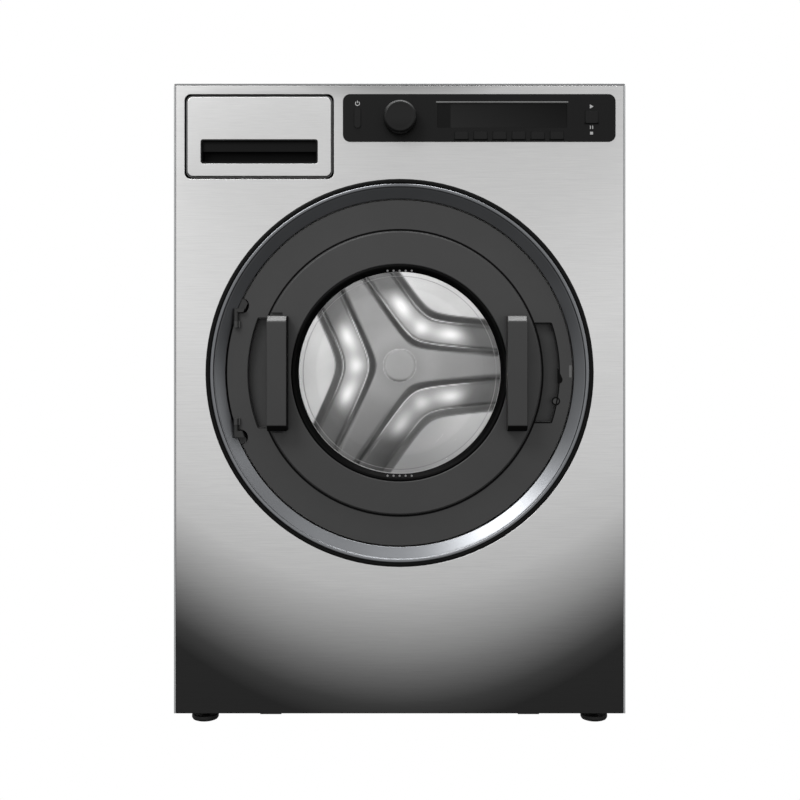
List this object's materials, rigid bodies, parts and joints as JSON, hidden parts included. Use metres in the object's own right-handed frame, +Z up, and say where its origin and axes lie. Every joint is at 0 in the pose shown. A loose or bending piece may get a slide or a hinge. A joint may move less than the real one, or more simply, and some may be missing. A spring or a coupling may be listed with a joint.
{
  "type": "front-loading washing machine",
  "caption": "Commercial front-loading washing machine with a round porthole door, two grip bars, a drawer and a control panel.",
  "frame": {"origin": "on the floor, under the middle of the whole machine with its grips and pipe ends", "axes": "+Z up; the front faces -Y; +X to the right seen from the front"},
  "size_m": [0.595, 0.7, 0.85],
  "materials": {
    "front_steel": "fine horizontal brushing, clear matt",
    "cabinet_paint": "silver grey powder coat",
    "rear_sheet": "zinc coated sheet",
    "chassis_black": "black coat",
    "foot_black": "moulded rubber pads on steel stems",
    "ring_metal": "dark satin metal with bright lip",
    "black_rubber": "moulded rubber",
    "grey_rubber": "soft moulded bellows",
    "belt_rubber": "ribbed belt",
    "pan_steel": "pressed steel",
    "black_plastic": "fine moulded grain",
    "fascia_black": "satin black",
    "display_glass": "dark window",
    "board_green": "circuit board",
    "valve_plastic": "moulded",
    "tub_plastic": "filled polypropylene",
    "weight_iron": "as cast",
    "bright_steel": "turned or plated steel",
    "motor_alloy": "cast housing",
    "drum_steel": "bright stainless",
    "lifter_plastic": "moulded",
    "cast_alloy": "die cast",
    "door_plastic": "dark grey satin",
    "grip_plastic": "dark grey satin",
    "door_glass": "clear moulded bowl",
    "inner_cover_plastic": "moulded",
    "grip_recess_black": "moulded",
    "tray_plastic": "moulded",
    "knob_black": "satin black"
  },
  "bodies": {
    "cabinet": {"front_panel": "front_steel", "side_panel_left": "cabinet_paint", "side_panel_right": "cabinet_paint", "rear_panel": "rear_sheet", "service_cover": "rear_sheet", "top_panel": "cabinet_paint", "base_tray": "chassis_black", "top_rails": "rear_sheet", "levelling_feet": "foot_black", "porthole_ring": "ring_metal", "porthole_rim": "black_rubber", "porthole_pan": "pan_steel", "hinge_bracket": "chassis_black", "door_lock": "black_plastic", "control_fascia": "fascia_black", "display_window": "display_glass", "control_board": "board_green", "dispenser_housing": "black_plastic", "inlet_valves": "valve_plastic", "drain_pump": "black_plastic", "control_box": "rear_sheet", "cable_gland": "black_plastic", "damper_cylinders": "black_plastic"},
    "tub": {"tub_rear": "tub_plastic", "tub_front": "tub_plastic", "door_seal": "grey_rubber", "counterweights": "weight_iron", "heater": "bright_steel", "drum_bearings": "bright_steel", "drive_motor": "motor_alloy", "drive_belt": "belt_rubber", "damper_rods": "bright_steel", "suspension_springs": "bright_steel"},
    "drum": {"drum_shell": "drum_steel", "drum_back": "drum_steel", "drum_lifters": "lifter_plastic", "drum_spider": "cast_alloy", "drum_pulley": "cast_alloy"},
    "rotor": {"motor_pulley": "bright_steel"},
    "door": {"door_cover": "door_plastic", "door_trim": "door_plastic", "grip_left": "grip_plastic", "grip_right": "grip_plastic", "window_gasket": "black_rubber", "door_glass": "door_glass", "door_frame": "cast_alloy", "door_inner_cover": "inner_cover_plastic"},
    "latch": {"latch_hook": "bright_steel"},
    "drawer": {"drawer_front": "front_steel", "drawer_grip": "grip_recess_black", "drawer_tray": "tray_plastic"},
    "knob": {"program_knob": "knob_black"},
    "power": {"power_button": "knob_black"},
    "start": {"start_button": "knob_black"},
    "option_1": {"option_button_1": "knob_black"},
    "option_2": {"option_button_2": "knob_black"},
    "option_3": {"option_button_3": "knob_black"},
    "option_4": {"option_button_4": "knob_black"},
    "option_5": {"option_button_5": "knob_black"},
    "option_6": {"option_button_6": "knob_black"}
  },
  "joints": [
    {"name": "door_swing", "type": "hinge", "parent": "cabinet", "child": "door", "pos_m": [-0.216, -0.3195, 0.4685], "axis": [0, 0, -1], "range_deg": [0, 110]},
    {"name": "latch_tilt", "type": "hinge", "parent": "door", "child": "latch", "pos_m": [0.208, -0.287, 0.4685], "axis": [0, 0, 1], "range_deg": [-6, 6], "stiffness_Nm_per_rad": 2},
    {"name": "drawer_slide", "type": "slide", "parent": "cabinet", "child": "drawer", "axis": [0, -1, 0], "range_m": [0, 0.2]},
    {"name": "tub_float", "type": "slide", "parent": "cabinet", "child": "tub", "axis": [0, 0, 1], "range_m": [-0.006, 0.004], "stiffness_N_per_m": 16000, "springref_m": 0.02467, "deforming": ["suspension_springs"]},
    {"name": "drum_spin", "type": "hinge", "parent": "tub", "child": "drum", "pos_m": [0, 0, 0.4685], "axis": [0, 1, 0], "continuous": true},
    {"name": "motor_spin", "type": "hinge", "parent": "tub", "child": "rotor", "pos_m": [0.1, 0.235, 0.14], "axis": [0, 1, 0], "continuous": true},
    {"name": "knob_turn", "type": "hinge", "parent": "cabinet", "child": "knob", "pos_m": [0.0006, -0.335, 0.80355], "axis": [0, 1, 0], "continuous": true},
    {"name": "power_press", "type": "slide", "parent": "cabinet", "child": "power", "axis": [0, 1, 0], "range_m": [0, 0.0015], "stiffness_N_per_m": 800, "springref_m": -0.0008},
    {"name": "start_press", "type": "slide", "parent": "cabinet", "child": "start", "axis": [0, 1, 0], "range_m": [0, 0.0015], "stiffness_N_per_m": 800, "springref_m": -0.0008},
    {"name": "option_press_1", "type": "slide", "parent": "cabinet", "child": "option_1", "axis": [0, 1, 0], "range_m": [0, 0.0015], "stiffness_N_per_m": 800, "springref_m": -0.0008},
    {"name": "option_press_2", "type": "slide", "parent": "cabinet", "child": "option_2", "axis": [0, 1, 0], "range_m": [0, 0.0015], "stiffness_N_per_m": 800, "springref_m": -0.0008},
    {"name": "option_press_3", "type": "slide", "parent": "cabinet", "child": "option_3", "axis": [0, 1, 0], "range_m": [0, 0.0015], "stiffness_N_per_m": 800, "springref_m": -0.0008},
    {"name": "option_press_4", "type": "slide", "parent": "cabinet", "child": "option_4", "axis": [0, 1, 0], "range_m": [0, 0.0015], "stiffness_N_per_m": 800, "springref_m": -0.0008},
    {"name": "option_press_5", "type": "slide", "parent": "cabinet", "child": "option_5", "axis": [0, 1, 0], "range_m": [0, 0.0015], "stiffness_N_per_m": 800, "springref_m": -0.0008},
    {"name": "option_press_6", "type": "slide", "parent": "cabinet", "child": "option_6", "axis": [0, 1, 0], "range_m": [0, 0.0015], "stiffness_N_per_m": 800, "springref_m": -0.0008}
  ],
  "couplings": [
    {"joint": "motor_spin", "follows": "drum_spin", "ratio": 10}
  ]
}
